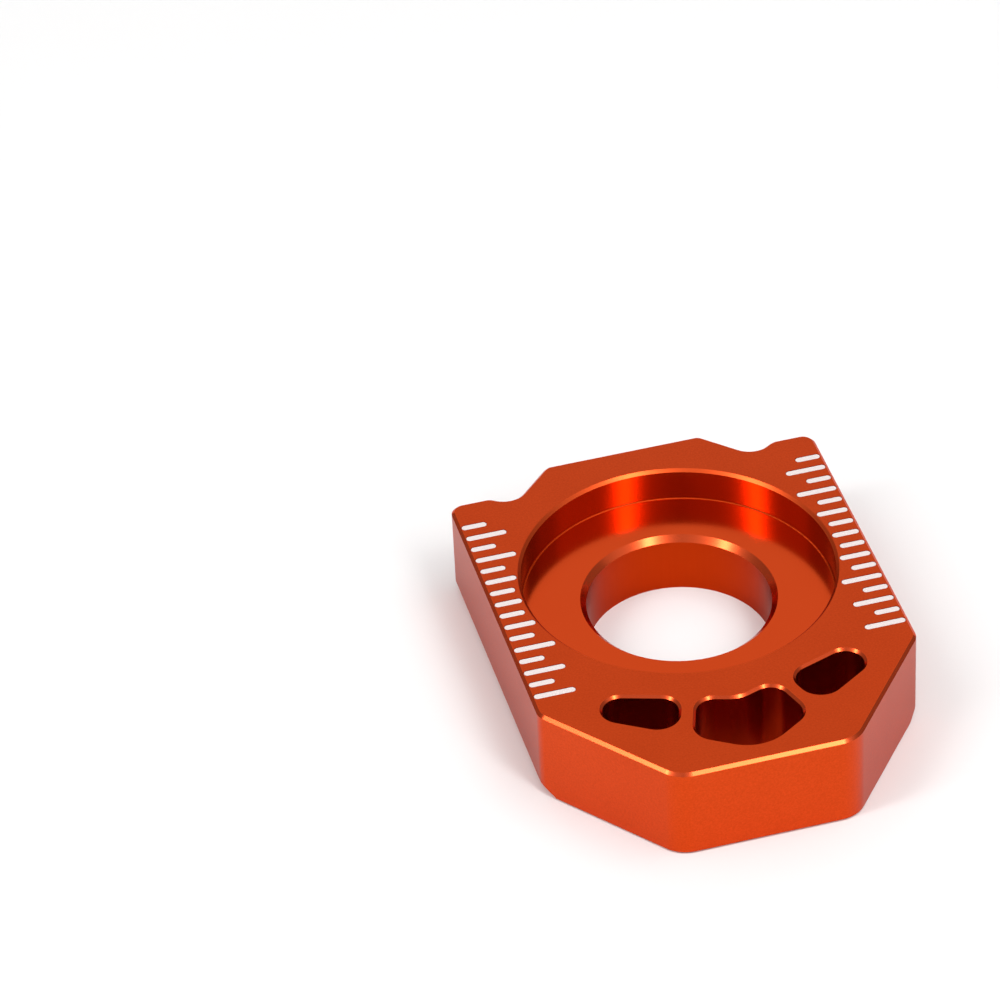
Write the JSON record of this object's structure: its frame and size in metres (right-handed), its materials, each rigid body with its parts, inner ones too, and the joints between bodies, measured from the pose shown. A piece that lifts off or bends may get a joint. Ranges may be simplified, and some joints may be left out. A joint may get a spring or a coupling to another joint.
{
  "type": "motorcycle chain adjuster block",
  "caption": "Flat milled rear-axle block with a counterbored axle bore, engraved scale marks along both sides, a notched bolt end and lightening slots near a tapered nose.",
  "frame": {"origin": "axis of the axle bore, on the block's back face", "axes": "+Z along the bore out of the marked front face, +Y towards the land that the adjuster bolt presses on, X across the width"},
  "size_m": [0.0522, 0.0673, 0.0138],
  "materials": {
    "anodised_aluminium": "satin orange anodising over milled and blasted aluminium",
    "engraved_marks": "bare pale metal in the engraved scale marks"
  },
  "bodies": {
    "root": {"adjuster_block": "anodised_aluminium"}
  },
  "joints": []
}
